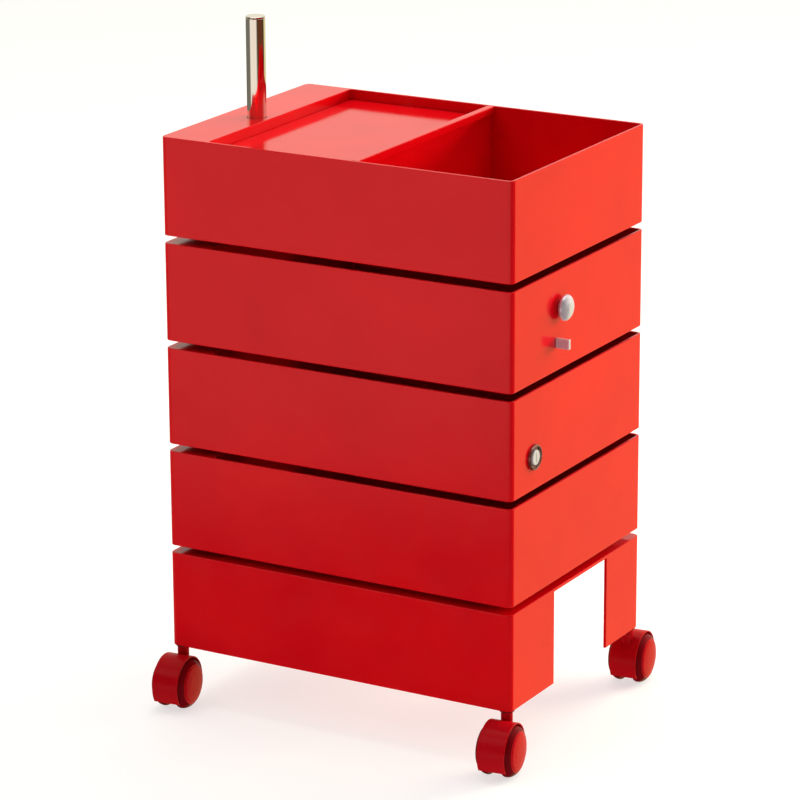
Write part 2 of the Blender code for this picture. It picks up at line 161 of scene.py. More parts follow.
def turned(profile, sides=ROUND, ring=False):
    """A (radius, height) profile turned about Z. A ring's profile closes; another's ends lie on the axis."""
    shape = bmesh.new()
    turn = 2 * math.pi / sides
    loops = []
    for radius, height in profile:
        if radius == 0.0:
            loops.append([shape.verts.new((0, 0, height))] * sides)
            continue
        loops.append([
            shape.verts.new((radius * math.cos(i * turn), radius * math.sin(i * turn), height))
            for i in range(sides)
        ])
    pairs = list(zip(loops, loops[1:]))
    if ring:
        pairs.append((loops[-1], loops[0]))
    for lower, upper in pairs:
        for i in range(sides):
            j = (i + 1) % sides
            shape.faces.new(dict.fromkeys((lower[i], lower[j], upper[j], upper[i])))
    return finished("turned", shape)


def rounded_profile(points, radius, steps=4):
    """A profile of (radius, height) points, each rounded off but the first and the last."""
    longest_reach = 0.45
    made = []
    for i, point in enumerate(points):
        here = Vector(point)
        if i in (0, len(points) - 1):
            made.append(tuple(here))
            continue
        before = Vector(points[i - 1]) - here
        after = Vector(points[i + 1]) - here
        reach = min(radius, before.length * longest_reach, after.length * longest_reach)
        start = here + before.normalized() * reach
        end = here + after.normalized() * reach
        for step in range(steps + 1):
            t = step / steps
            made.append(tuple(start * (1 - t) ** 2 + here * 2 * t * (1 - t) + end * t ** 2))
    return made


def tube_profile(outer, inner, z0, z1, radius=0.0004):
    """The closed profile of a tube with its four edges rounded."""
    start = ((outer + inner) / 2, z0)
    loop = [start, (outer, z0), (outer, z1), (inner, z1), (inner, z0), start]
    return rounded_profile(loop, radius, 3)[:-1]


def placed(mesh, matrix):
    """The same mesh, moved."""
    mesh.transform(matrix)
    return mesh


def cylinder(x, y, radius, z0, z1, sides=SMALL_ROUND):
    rod = turned([(0, z0), (radius, z0), (radius, z1), (0, z1)], sides)
    return placed(rod, Matrix.Translation((x, y, 0)))


# Turns Z to +X
ALONG_X = Matrix.Rotation(math.pi / 2, 4, "Y")


def carved(start, steps):
    """The mesh of start after each (Boolean operation, helper mesh) in turn."""
    body = bpy.data.objects.new("carved_body", start)
    bpy.context.scene.collection.objects.link(body)
    helpers = []
    for operation, mesh in steps:
        helper = bpy.data.objects.new("carving_helper", mesh)
        bpy.context.scene.collection.objects.link(helper)
        helpers.append(helper)
        modifier = body.modifiers.new(operation.title(), "BOOLEAN")
        modifier.operation = operation
        modifier.solver = "EXACT"
        modifier.object = helper
    bpy.context.view_layer.update()
    graph = bpy.context.evaluated_depsgraph_get()
    mesh = bpy.data.meshes.new_from_object(body.evaluated_get(graph))
    for item in [body, *helpers]:
        bpy.data.objects.remove(item)
    return mesh


# Materials

def node(tree, kind, **values):
    """A new node with its properties, or its inputs of those names, set."""
    made = tree.nodes.new(kind)
    for name, value in values.items():
        if hasattr(made, name):
            setattr(made, name, value)
        else:
            made.inputs[name.replace("_", " ")].default_value = value
    return made


def linear_ramp(tree, value, dark, light, start, end):
    """Colour that goes from dark to light as value goes from start to end."""
    colour = node(tree, "ShaderNodeValToRGB")
    for element, position, tone in zip(colour.color_ramp.elements, (start, end), (dark, light)):
        element.position = position
        element.color = (*tone, 1)
    tree.links.new(value, colour.inputs["Fac"])
    return colour.outputs["Color"]


def moulded_plastic(name, deep, light, roughness, specular, peel):
    """Gloss plastic: slow cloudy colour, a patchy polish and a faint orange peel."""
    made = bpy.data.materials.new(name)
    made.use_nodes = True
    tree = made.node_tree
    shader = tree.nodes["Principled BSDF"]
    shader.inputs["Specular IOR Level"].default_value = specular
    place = node(tree, "ShaderNodeTexCoord")
    clouds = node(tree, "ShaderNodeTexNoise", Scale=7.0, Detail=3.0, Roughness=0.5)
    tree.links.new(place.outputs["Object"], clouds.inputs["Vector"])
    colour = linear_ramp(tree, clouds.outputs["Fac"], deep, light, 0.32, 0.68)
    tree.links.new(colour, shader.inputs["Base Color"])
    polish = node(tree, "ShaderNodeTexNoise", Scale=26.0, Detail=6.0, Roughness=0.62)
    tree.links.new(place.outputs["Object"], polish.inputs["Vector"])
    spread = node(tree, "ShaderNodeMapRange")
    spread.inputs["From Min"].default_value = 0.3
    spread.inputs["From Max"].default_value = 0.7
    spread.inputs["To Min"].default_value = roughness * 0.75
    spread.inputs["To Max"].default_value = roughness * 1.3
    tree.links.new(polish.outputs["Fac"], spread.inputs["Value"])
    tree.links.new(spread.outputs["Result"], shader.inputs["Roughness"])
    skin = node(tree, "ShaderNodeTexNoise", Scale=420.0, Detail=1.0)
    tree.links.new(place.outputs["Object"], skin.inputs["Vector"])
    bump = node(tree, "ShaderNodeBump", Strength=peel, Distance=0.0004)
    tree.links.new(skin.outputs["Fac"], bump.inputs["Height"])
    tree.links.new(bump.outputs["Normal"], shader.inputs["Normal"])
    return made


def plated_metal(name, dark, light, metallic, roughness, grain):
    """Plated metal with a fine grain, drawn out along the axes where the grain's scale is small."""
    made = bpy.data.materials.new(name)
    made.use_nodes = True
    tree = made.node_tree
    shader = tree.nodes["Principled BSDF"]
    shader.inputs["Metallic"].default_value = metallic
    place = node(tree, "ShaderNodeTexCoord")
    stretch = node(tree, "ShaderNodeMapping")
    stretch.inputs["Scale"].default_value = grain
    tree.links.new(place.outputs["Object"], stretch.inputs["Vector"])
    streaks = node(tree, "ShaderNodeTexNoise", Scale=1.0, Detail=4.0, Roughness=0.6)
    tree.links.new(stretch.outputs["Vector"], streaks.inputs["Vector"])
    colour = linear_ramp(tree, streaks.outputs["Fac"], dark, light, 0.3, 0.7)
    tree.links.new(colour, shader.inputs["Base Color"])
    spread = node(tree, "ShaderNodeMapRange")
    spread.inputs["To Min"].default_value = roughness * 0.7
    spread.inputs["To Max"].default_value = roughness * 1.4
    tree.links.new(streaks.outputs["Fac"], spread.inputs["Value"])
    tree.links.new(spread.outputs["Result"], shader.inputs["Roughness"])
    bump = node(tree, "ShaderNodeBump", Strength=0.05, Distance=0.0002)
    tree.links.new(streaks.outputs["Fac"], bump.inputs["Height"])
    tree.links.new(bump.outputs["Normal"], shader.inputs["Normal"])
    return made


def with_painted_tread_shade(made, tread_shade_colour):
    """The material given, with another, darker colour where the mesh's tread attribute is 1: painted shade
    standing for the shaded band beside each wheel's disc.
    """
    tree = made.node_tree
    base = tree.nodes["Principled BSDF"].inputs["Base Color"]
    body_colour = base.links[0].from_socket
    tread = node(tree, "ShaderNodeAttribute", attribute_name="tread")
    mix = node(tree, "ShaderNodeMix", data_type="RGBA")
    mix.inputs["B"].default_value = (*tread_shade_colour, 1)
    tree.links.new(body_colour, mix.inputs["A"])
    tree.links.new(tread.outputs["Fac"], mix.inputs["Factor"])
    tree.links.new(mix.outputs["Result"], base)
    return made


CASTOR_PLASTIC = ((0.44, 0.002, 0.006), (0.52, 0.003, 0.009), 0.24, 0.05, 0.20)
DRAWN_ALONG_Z = (900, 900, 4)
EVEN_GRAIN = (300, 300, 300)

SHELL_RED = moulded_plastic("shell_red", (0.68, 0.0015, 0.007), (0.77, 0.003, 0.007), 0.10, 0.22, 0.10)
CASTOR_RED = moulded_plastic("castor_red", *CASTOR_PLASTIC)
# The wheels' finish: castor plastic with painted shade, a darker red painted on the tread where the band beside
# each disc lies in shade
WHEEL_RED_PAINTED_SHADE = with_painted_tread_shade(moulded_plastic("wheel_red_painted_shade", *CASTOR_PLASTIC), (0.17, 0.001, 0.004))
NICKEL_STEEL = plated_metal("nickel_steel", (0.72, 0.66, 0.57), (0.82, 0.76, 0.67), 1.0, 0.07, DRAWN_ALONG_Z)
FITTING = plated_metal("bright_fitting", (0.66, 0.62, 0.72), (0.80, 0.76, 0.86), 0.45, 0.30, EVEN_GRAIN)
LOCK_RING = plated_metal("lock_ring", (0.26, 0.13, 0.12), (0.38, 0.20, 0.18), 0.8, 0.25, EVEN_GRAIN)
DARK_NYLON = moulded_plastic("dark_nylon", (0.030, 0.003, 0.003), (0.050, 0.005, 0.005), 0.42, 0.30, 0.30)

# The finish of each of the record's material slots
FINISHES = {
    "shell_red": SHELL_RED,
    "castor_red": CASTOR_RED,
    "nickel_steel": NICKEL_STEEL,
    "bright_fitting": FITTING,
    "dark_nylon": DARK_NYLON,
}


# Pieces

def stand_in(cad_node, mesh, slot, soft_edge=SOFT_EDGE, finish=None):
    """A piece that stands for one CAD node and rides on its body, in its slot's finish unless given one."""
    made = bpy.data.objects.new(cad_node + "_fine", mesh)
    bpy.context.scene.collection.objects.link(made)
    mesh.materials.clear()
    mesh.materials.append(finish or FINISHES[slot])
    mesh.shade_smooth()
    mesh.set_sharp_from_angle(angle=SHARP_ANGLE)
    if soft_edge:
        bevel = made.modifiers.new("Bevel", "BEVEL")
        bevel.width = soft_edge
        bevel.segments = 2
        bevel.limit_method = "ANGLE"
        bevel.angle_limit = SHARP_ANGLE
    normals = made.modifiers.new("Weighted normals", "WEIGHTED_NORMAL")
    normals.keep_sharp = True
    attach(made, BODY_OF[cad_node])
    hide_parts(cad_node)


def tier_corners(low, high):
    return rectangle(low.x, high.x, low.y, high.y, CORNER)


def tier_skin(bottom, top):
    """(inset, z) levels of a tier's outside, from its rounded foot to its rounded rim."""
    return [
        *roll(FOOT_ROUND, bottom + FOOT_ROUND, FOOT_ROUND, 270, 180),
        *roll(RIM_ROUND, top - RIM_ROUND, RIM_ROUND, 180, 90),
    ]


def centre_of(cad_node):
    low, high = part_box(cad_node)
    return (low + high) / 2


def outer_radius(cad_node):
    """Radius of a round node whose axis is upright."""
    low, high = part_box(cad_node)
    return (high.x - low.x) / 2


POST = centre_of("post_tube")
POST_FOOT_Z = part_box("post_tube")[0].z
POST_RADIUS = outer_radius("post_tube")
RUNNING_BORE = POST_RADIUS + RUNNING_CLEARANCE
PEN_LOW, PEN_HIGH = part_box("pen_tray")
HUB_EDGE = PEN_LOW.x - 2 * CLEARANCE


def post_bore(z0, z1):
    """A bore for the post, with a softly flared mouth at its top."""
    flare = 0.0006
    mouth = []
    for degrees in (0, 22, 45, 68, 90):
        a = math.radians(degrees)
        mouth.append((RUNNING_BORE + flare - flare * math.cos(a), z1 - flare + flare * math.sin(a)))
    profile = [(0, z0), (RUNNING_BORE, z0), *mouth, (RUNNING_BORE + flare, z1 + WALL), (0, z1 + WALL)]
    return placed(turned(profile), Matrix.Translation((POST.x, POST.y, 0)))


def tray_mesh(low, high, extra_steps):
    """An open bin with a filleted floor, and a closed deck over the hub, which is open below."""
    bottom, top = low.z, high.z
    rib_foot = bottom + 0.010
    deep_bore_top = top - 0.005
    running_bore_foot = bottom + 0.05
    inner = rectangle(HUB_EDGE, high.x - WALL, low.y + WALL, high.y - WALL, CORNER - WALL)
    floor = bottom + WALL
    inner_levels = [
        *roll(-RIM_ROUND, top - RIM_ROUND, RIM_ROUND, 90, 0),
        *roll(FLOOR_FILLET, floor + FLOOR_FILLET, FLOOR_FILLET, 180, 270),
    ]
    skin = loft(rings(tier_corners(low, high), tier_skin(bottom, top)) + rings(inner, inner_levels))
    space = rectangle(low.x + WALL, HUB_EDGE - WALL, low.y + WALL, high.y - WALL, CORNER - WALL)
    rib = block(POST.x - HUB_RIB / 2, POST.x + HUB_RIB / 2, low.y, high.y, rib_foot, top)
    hub_space = carved(
        prism(space, bottom - WALL, top - WALL),
        [
            ("DIFFERENCE", rib),
            ("DIFFERENCE", cylinder(POST.x, POST.y, HUB_RADIUS, bottom - 2 * WALL, top)),
        ],
    )
    steps = [
        ("DIFFERENCE", hub_space),
        ("DIFFERENCE", cylinder(POST.x, POST.y, HUB_BORE, bottom - WALL, deep_bore_top)),
        ("DIFFERENCE", post_bore(running_bore_foot, top)),
    ]
    return carved(skin, steps + extra_steps)


def lock_hole(wall_x):
    """The round hole through the end wall for the lock's barrel."""
    hole_radius = 0.0098
    middle = centre_of("lock_body")
    drill = placed(cylinder(0, 0, hole_radius, -2 * WALL, 2 * WALL), ALONG_X)
    return ("DIFFERENCE", placed(drill, Matrix.Translation((wall_x, middle.y, middle.z))))


def divider_steps(low, high):
    """The top tray's divider, which the pen tray hooks over, and the two ledges that carry the pen tray."""
    half = WALL / 2
    divider_x = PEN_HIGH.x - SHEET - CLEARANCE
    divider_top = high.z - WALL - CLEARANCE
    ledge_top = PEN_LOW.z - CLEARANCE
    ledge_reach = 0.004
    near_ledge = (low.y + half, low.y + WALL + ledge_reach)
    far_ledge = (high.y - WALL - ledge_reach, high.y - half)
    divider = block(divider_x - WALL, divider_x, low.y + half, high.y - half, low.z + half, divider_top)
    steps = [("UNION", divider)]
    for y0, y1 in (near_ledge, far_ledge):
        ledge = block(HUB_EDGE - half, divider_x - half, y0, y1, ledge_top - WALL, ledge_top)
        steps.append(("UNION", ledge))
    return steps


def make_trays():
    for number in TRAYS:
        low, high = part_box(f"tray_{number}_shell")
        extras = {1: divider_steps(low, high), 3: [lock_hole(high.x)]}
        stand_in(f"tray_{number}_shell", tray_mesh(low, high, extras.get(number, [])), "shell_red")


def make_pen_tray():
    """A shallow tray whose right edge rises to the rim and hooks over the divider."""
    floor_top = PEN_LOW.z + WALL
    rim = PEN_HIGH.z
    hook_foot = rim - 0.008
    hook_in = PEN_HIGH.x - SHEET
    rise_out = hook_in - 2 * CLEARANCE - WALL
    rise_in = rise_out - SHEET
    past_the_edge = 0.02
    section = [
        (PEN_LOW.x, PEN_LOW.z, 0.0006),
        (rise_out, PEN_LOW.z, 0.0012),
        (rise_out, rim - WALL, 0.0003),
        (hook_in, rim - WALL, 0.0003),
        (hook_in, hook_foot, 0.0006),
        (PEN_HIGH.x, hook_foot, 0.0006),
        (PEN_HIGH.x, rim, 0.0010),
        (rise_in, rim, 0.0010),
        (rise_in, floor_top, 0.0016),
        (PEN_LOW.x, floor_top, 0.0006),
    ]
    run = [[(p.x, y, p.y) for p in outline(section)] for y in (PEN_LOW.y, PEN_HIGH.y)]
    corners = rectangle(PEN_LOW.x, PEN_HIGH.x + past_the_edge, PEN_LOW.y, PEN_HIGH.y, CORNER - WALL)
    trim = prism(corners, PEN_LOW.z - WALL, rim + WALL)
    stand_in("pen_tray", carved(loft(run), [("INTERSECT", trim)]), "shell_red", soft_edge=0.0003)


def make_plinth():
    """The fixed lowest tier: a deck on skirt walls, open below, notched at the lock end and at the back."""
    low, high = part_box("plinth")
    bottom, top = low.z, high.z
    deck = top - WALL
    below = bottom - WALL
    notch_depth = 0.016
    end_notch_y = (-0.050, 0.067)
    rear_notch_x = (0.066, 0.174)
    pad_half = 0.024
    pad_corner = 0.004
    rib_foot = deck - 0.005
    rib_half = HUB_RIB / 2
    long_rib_end = 0.150
    boss_radius = 0.0082
    socket_radius, socket_depth = 0.0065, 0.030
    screw_radius, screw_reach = 0.0022, 0.014
    stems = [centre_of(f"castor_{name}_stem") for name in CASTORS]
    pad = rectangle(POST.x - pad_half, POST.x + pad_half, POST.y - pad_half, POST.y + pad_half, pad_corner)
    kept = [
        ("DIFFERENCE", prism(pad, POST_FOOT_Z, top)),
        ("DIFFERENCE", block(POST.x - rib_half, POST.x + rib_half, 2 * low.y, 2 * high.y, rib_foot, top)),
        ("DIFFERENCE", block(2 * low.x, long_rib_end, POST.y - rib_half, POST.y + rib_half, rib_foot, top)),
    ]
    for stem in stems:
        kept.append(("DIFFERENCE", cylinder(stem.x, stem.y, boss_radius, bottom - 2 * WALL, top)))
    inner = [
        (x - math.copysign(WALL, x), y - math.copysign(WALL, y), radius - WALL)
        for x, y, radius in tier_corners(low, high)
    ]
    steps = [
        ("DIFFERENCE", carved(prism(inner, below, deck), kept)),
        ("DIFFERENCE", post_bore(bottom, top)),
        ("DIFFERENCE", block(high.x - notch_depth, 2 * high.x, *end_notch_y, below, deck)),
        ("DIFFERENCE", block(*rear_notch_x, high.y - notch_depth, 2 * high.y, below, deck)),
    ]
    for number in FOOT_SCREWS:
        screw = centre_of(f"post_foot_screw_{number}")
        steps.append(("DIFFERENCE", cylinder(screw.x, screw.y, screw_radius, 0, POST_FOOT_Z + screw_reach)))
    for stem in stems:
        steps.append(("DIFFERENCE", cylinder(stem.x, stem.y, socket_radius, below, bottom + socket_depth)))
    skin = loft(rings(tier_corners(low, high), tier_skin(bottom, top)))
    stand_in("plinth", carved(skin, steps), "shell_red")


def lathe_on_post(cad_node, profile, slot, ring=True):
    mesh = placed(turned(profile, ROUND, ring), Matrix.Translation((POST.x, POST.y, 0)))
    stand_in(cad_node, mesh, slot, soft_edge=0.0)


def make_sleeve(cad_node):
    """A plain nylon ring on the post, as wide and as tall as its CAD node."""
    low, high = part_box(cad_node)
    lathe_on_post(cad_node, tube_profile(outer_radius(cad_node), RUNNING_BORE, low.z, high.z), "dark_nylon")


def make_flanged_bush(number):
    """A tray's lower bush: a sleeve as wide as the upper one, with a flange under the tray."""
    flange_thickness = 0.002
    low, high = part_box(f"tray_{number}_lower_bush")
    sleeve = outer_radius(f"tray_{number}_upper_bush")
    flange = outer_radius(f"tray_{number}_lower_bush")
    flange_top = low.z + flange_thickness
    start = (flange - 0.001, low.z)
    profile = [
        start, (flange, low.z), (flange, flange_top), (sleeve, flange_top),
        (sleeve, high.z), (RUNNING_BORE, high.z), (RUNNING_BORE, low.z), start,
    ]
    lathe_on_post(f"tray_{number}_lower_bush", rounded_profile(profile, 0.0004, 3)[:-1], "dark_nylon")


def make_post():
    low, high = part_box("post_tube")
    tube = tube_profile(POST_RADIUS, POST_RADIUS - 0.0015, low.z, high.z, 0.0003)
    lathe_on_post("post_tube", tube, "nickel_steel")
    low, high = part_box("post_top_cap")
    plug_radius = POST_RADIUS - 0.0018
    head = high.z - 0.002
    cap = [
        (0.0, low.z), (plug_radius, low.z), (plug_radius, head), (POST_RADIUS, head),
        (POST_RADIUS, high.z), (0.0, high.z),
    ]
    lathe_on_post("post_top_cap", rounded_profile(cap, 0.0009, 5), "nickel_steel", ring=False)
    for number in TRAYS:
        make_sleeve(f"post_spacer_{number}")
        make_sleeve(f"tray_{number}_upper_bush")
        make_flanged_bush(number)


# Fittings on the lock end

END_WALL_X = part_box("tray_2_shell")[1].x


def on_end(cad_node, mesh, middle, soft_edge=0.0, finish=None):
    """A bright fitting, made about its own Z axis, laid along X on the end wall."""
    place = Matrix.Translation((END_WALL_X, middle.y, middle.z)) @ ALONG_X
    stand_in(cad_node, placed(mesh, place), "bright_fitting", soft_edge, finish)


def make_knob_and_tab():
    """The domed knob, and the tab with four fine grooves across its near side."""
    knob = [
        (0.0, 0.0120), (0.0055, 0.0116), (0.0100, 0.0101), (0.0127, 0.0078), (0.0134, 0.0058),
        (0.0125, 0.0038), (0.0080, 0.0022), (0.0070, CLEARANCE), (0.0, CLEARANCE),
    ]
    on_end("knob", turned(rounded_profile(knob, 0.0012, 5)), centre_of("knob"))
    low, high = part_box("catch_tab")
    middle = centre_of("catch_tab")
    half = 0.0020
    groove_depth = 0.0005
    groove_half = 0.0003
    groove_count = 4
    groove_start, groove_end = END_WALL_X + 0.003, high.x - 0.0012
    bar = block(END_WALL_X + CLEARANCE, high.x, middle.y - half, middle.y + half, low.z, high.z)
    floor_y = middle.y - half + groove_depth
    grooves = []
    for i in range(groove_count):
        z = low.z + (high.z - low.z) * (i + 1) / (groove_count + 1)
        groove = block(groove_start, groove_end, low.y - 0.01, floor_y, z - groove_half, z + groove_half)
        grooves.append(("DIFFERENCE", groove))
    stand_in("catch_tab", carved(bar, grooves), "bright_fitting", soft_edge=0.0003)


def make_lock():
    """Cam lock: a flanged body held by a nut behind the wall; its plug turns with the cam."""
    middle = Vector(JOINTS["lock_turn"]["pos_m"])
    inside = -WALL - CLEARANCE
    barrel_end = -0.018
    plug_end = barrel_end - 0.0040
    cam_side = barrel_end - CLEARANCE
    nut_end = inside - 0.0030
    nut_radius, nut_bore = 0.0135, 0.0099
    cam_corner, cam_bore = 0.0055, 0.0032
    body = [
        (0.0110, CLEARANCE), (0.0130, CLEARANCE), (0.0130, 0.0022), (0.0122, 0.0032), (0.0112, 0.0032),
        (0.0107, 0.0010), (0.0084, 0.0010), (0.0084, barrel_end), (0.0095, barrel_end), (0.0095, CLEARANCE),
        (0.0110, CLEARANCE),
    ]
    body_mesh = turned(rounded_profile(body, 0.0004, 3)[:-1], ring=True)
    on_end("lock_body", body_mesh, middle, finish=LOCK_RING)
    plug = [
        (0.0, plug_end), (0.0028, plug_end), (0.0028, cam_side),
        (0.0080, cam_side), (0.0080, 0.0022), (0.0072, 0.0030), (0.0, 0.0030),
    ]
    keyway = block(-0.0045, 0.0045, -0.0005, 0.0005, -0.0030, 0.0060)
    plug_mesh = carved(turned(rounded_profile(plug, 0.0003, 3), SMALL_ROUND), [("DIFFERENCE", keyway)])
    on_end("lock_plug", plug_mesh, middle, soft_edge=0.0001)
    hexagon = turned([(0, nut_end), (nut_radius, nut_end), (nut_radius, inside), (0, inside)], 6)
    nut = carved(hexagon, [("DIFFERENCE", cylinder(0, 0, nut_bore, -0.02, 0.02))])
    on_end("lock_nut", nut, middle, soft_edge=0.0004)
    low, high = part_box("lock_cam")
    width = (low.y - middle.y, high.y - middle.y)
    length = (low.z - middle.z, high.z - middle.z)
    cam = prism(rectangle(*width, *length, cam_corner), 0, high.x - low.x)
    cam = carved(cam, [("DIFFERENCE", cylinder(0, 0, cam_bore, -1, 1))])
    facing_x = Matrix(((0, 0, 1, 0), (1, 0, 0, 0), (0, 1, 0, 0), (0, 0, 0, 1)))
    place = Matrix.Translation((low.x, middle.y, middle.z)) @ facing_x
    stand_in("lock_cam", placed(cam, place), "bright_fitting", soft_edge=0.0003)


# Castors

TRAIL = 0.015
WHEEL_RADIUS = 0.0265
HOOD_RADIUS = 0.029
HOOD_SHELL = 0.0014
HOOD_HALF = 0.0145
HOOD_WEB = 0.0065
HOOD_SKIRT_Z = 0.011
NECK_RADIUS = 0.006
NECK_FOOT_Z = 0.040
STEM_RADIUS = 0.004
STEM_FOOT_Z = 0.0425
AXLE_BORE = 0.0034
# Radius from which the wheel's tread is painted darker, as painted shade
TREAD_SHADE_START = 0.0212


def hood_mesh(top):
    """Hood in the castor's own frame: the stem is on Z, the axle along X, behind it by the trail."""
    axle = Matrix.Translation((0, -TRAIL, WHEEL_RADIUS)) @ ALONG_X
    inner = HOOD_RADIUS - HOOD_SHELL
    past_the_face = HOOD_HALF + WALL
    drum = [(0, -HOOD_HALF), (HOOD_RADIUS, -HOOD_HALF), (HOOD_RADIUS, HOOD_HALF), (0, HOOD_HALF)]
    neck = [(0, NECK_FOOT_Z), (NECK_RADIUS, NECK_FOOT_Z), (NECK_RADIUS, top), (0, top)]
    steps = [("UNION", turned(neck, SMALL_ROUND))]
    for start, end in ((-past_the_face, -HOOD_WEB), (HOOD_WEB, past_the_face)):
        steps.append(("DIFFERENCE", placed(cylinder(0, 0, inner, start, end, ROUND), axle)))
    steps.append(("DIFFERENCE", block(-0.03, 0.03, -0.06, 0.06, -0.01, HOOD_SKIRT_Z)))
    steps.append(("DIFFERENCE", cylinder(0, 0, STEM_RADIUS + RUNNING_CLEARANCE, STEM_FOOT_Z, 0.07)))
    steps.append(("DIFFERENCE", placed(cylinder(0, 0, AXLE_BORE, -0.02, 0.02), axle)))
    return carved(placed(turned(rounded_profile(drum, 0.0005, 4)), axle), steps)


def wheel_mesh():
    """One wheel about Z: a domed disc, a fine groove round it, and a tread marked by the tread attribute, where
    the wheel's finish paints shade.
    """
    profile = [
        (0.0, 0.0214), (0.0100, 0.0211), (0.0165, 0.0204), (0.0190, 0.0199), (0.0193, 0.0192),
        (0.0199, 0.0192), (0.0204, 0.0193), (0.0222, 0.0181), (0.0240, 0.0165), (0.0252, 0.0149),
        (0.0261, 0.0130), (WHEEL_RADIUS, 0.0108), (WHEEL_RADIUS, 0.0087), (0.0250, 0.0072), (0.0090, 0.0072),
        (AXLE_BORE, 0.0072), (AXLE_BORE, 0.0160), (0.0, 0.0160),
    ]
    mesh = turned(rounded_profile(profile, 0.0010, 3))
    # The tread attribute marks where the wheel's finish paints a darker red as painted shade
    tread = mesh.attributes.new("tread", "FLOAT", "POINT")
    for vertex, value in zip(mesh.vertices, tread.data):
        value.value = float(math.hypot(vertex.co.x, vertex.co.y) > TREAD_SHADE_START)
    return mesh


def make_castors():
    for name in CASTORS:
        stem = Vector(JOINTS[f"castor_{name}_swivel"]["pos_m"])
        axle = Vector(JOINTS[f"castor_{name}_wheel_right_spin"]["pos_m"])
        at_stem = Matrix.Translation((stem.x, stem.y, 0))
        angle = math.atan2(axle.x - stem.x, stem.y - axle.y)
        swivel = at_stem @ Matrix.Rotation(angle, 4, "Z")
        hood = hood_mesh(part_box(f"castor_{name}_hood")[1].z)
        stand_in(f"castor_{name}_hood", placed(hood, swivel), "castor_red", soft_edge=0.0003)
        for side, turn in (("right", 0.0), ("left", math.pi)):
            spin = Matrix.Translation((0, -TRAIL, WHEEL_RADIUS)) @ Matrix.Rotation(turn, 4, "Z") @ ALONG_X
            wheel = placed(wheel_mesh(), swivel @ spin)
            # The wheels take the finish that paints shade on the tread
            stand_in(f"castor_{name}_wheel_{side}", wheel, "castor_red", soft_edge=0.0, finish=WHEEL_RED_PAINTED_SHADE)
        low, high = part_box(f"castor_{name}_stem")
        rod = [(0, low.z), (STEM_RADIUS, low.z), (STEM_RADIUS, high.z), (0, high.z)]
        stem_mesh = turned(rounded_profile(rod, 0.001), SMALL_ROUND)
        stand_in(f"castor_{name}_stem", placed(stem_mesh, at_stem), "nickel_steel", soft_edge=0.0)
        low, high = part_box(f"castor_{name}_socket")
        lip_top = low.z + 0.001
        bore = STEM_RADIUS + RUNNING_CLEARANCE
        socket = [
            (0.0070, low.z), (0.0078, low.z), (0.0078, lip_top), (0.0062, lip_top), (0.0062, high.z),
            (bore, high.z), (bore, low.z), (0.0070, low.z),
        ]
        socket_mesh = turned(rounded_profile(socket, 0.0003, 3)[:-1], SMALL_ROUND, ring=True)
        stand_in(f"castor_{name}_socket", placed(socket_mesh, at_stem), "dark_nylon", soft_edge=0.0)


def dress_kept_nodes():
    """CAD nodes whose plain shape is right: they only take their finish."""
    kept = ["post_foot_plate", *[f"post_foot_screw_{number}" for number in FOOT_SCREWS]]
    kept += [f"castor_{name}_axle" for name in CASTORS]
    for cad_node in kept:
        mesh = frame["nodes"][cad_node].data
        mesh.materials.clear()
        mesh.materials.append(NICKEL_STEEL)


# Studio

ROOM_DIM = 0.06
SWEEP_BRIGHT = 0.95
STRIP_BRIGHT = 1.10
WARM_BRIGHT = 0.92
BROWN_BRIGHT = 0.14
GREY_BRIGHT = 0.20
SIDE_WATTS = 134
UPPER_WATTS = 20
TOP_WATTS = 42
WARM_WHITE = (1.0, 0.92, 0.62)
WHITE = (1.0, 1.0, 1.0)


def make_camera():
    place = Vector((1.8688, -3.2668, 1.4706))
    yaw = math.radians(29.857)
    pitch = math.radians(16.977)
    tilt = math.radians(-0.273)
    ahead = Vector((-math.sin(yaw) * math.cos(pitch), math.cos(yaw) * math.cos(pitch), -math.sin(pitch)))
    level = Vector((math.cos(yaw), math.sin(yaw), 0))
    upright = level.cross(ahead)
    right = math.cos(tilt) * level + math.sin(tilt) * upright
    up = math.cos(tilt) * upright - math.sin(tilt) * level
    camera = bpy.data.objects.new("camera", bpy.data.cameras.new("camera"))
    camera.matrix_world = Matrix.Translation(place) @ Matrix((right, up, -ahead)).transposed().to_4x4()
    camera.data.sensor_width = 36.0
    camera.data.lens = 172.15
    camera.data.clip_end = 60.0
    bpy.context.scene.collection.objects.link(camera)
    bpy.context.scene.camera = camera


def make_floor():
    """A pale disc that catches the soft shadow. Gloss mirrors the world under the horizon instead of it."""
    shape = bmesh.new()
    bmesh.ops.create_circle(shape, cap_ends=True, segments=ROUND, radius=20.0)
    floor = bpy.data.objects.new("floor", finished("floor", shape))
    bpy.context.scene.collection.objects.link(floor)
    paint = bpy.data.materials.new("floor_paint")
    paint.use_nodes = True
    shader = paint.node_tree.nodes["Principled BSDF"]
    shader.inputs["Base Color"].default_value = (0.42, 0.42, 0.42, 1)
    shader.inputs["Roughness"].default_value = 0.9
    shader.inputs["Specular IOR Level"].default_value = 0.1
    shader.inputs["Emission Color"].default_value = (1, 1, 1, 1)
    shader.inputs["Emission Strength"].default_value = 0.65
    floor.data.materials.append(paint)
    floor.visible_glossy = False


def softbox(name, place, aim, size, watts, colour):
    """A rectangular light of that width and height, turned towards aim."""
    light = bpy.data.lights.new(name, "AREA")
    light.shape = "RECTANGLE"
    light.size, light.size_y = size
    light.energy = watts
    light.color = colour
    made = bpy.data.objects.new(name, light)
    turn = (Vector(aim) - Vector(place)).to_track_quat("-Z", "Y")
    made.matrix_world = Matrix.Translation(place) @ turn.to_matrix().to_4x4()
    bpy.context.scene.collection.objects.link(made)
    return made


def direction(azimuth, elevation):
    """Unit vector; azimuth is anticlockwise from +X, both in degrees."""
    a, e = math.radians(azimuth), math.radians(elevation)
    return Vector((math.cos(a) * math.cos(e), math.sin(a) * math.cos(e), math.sin(e)))


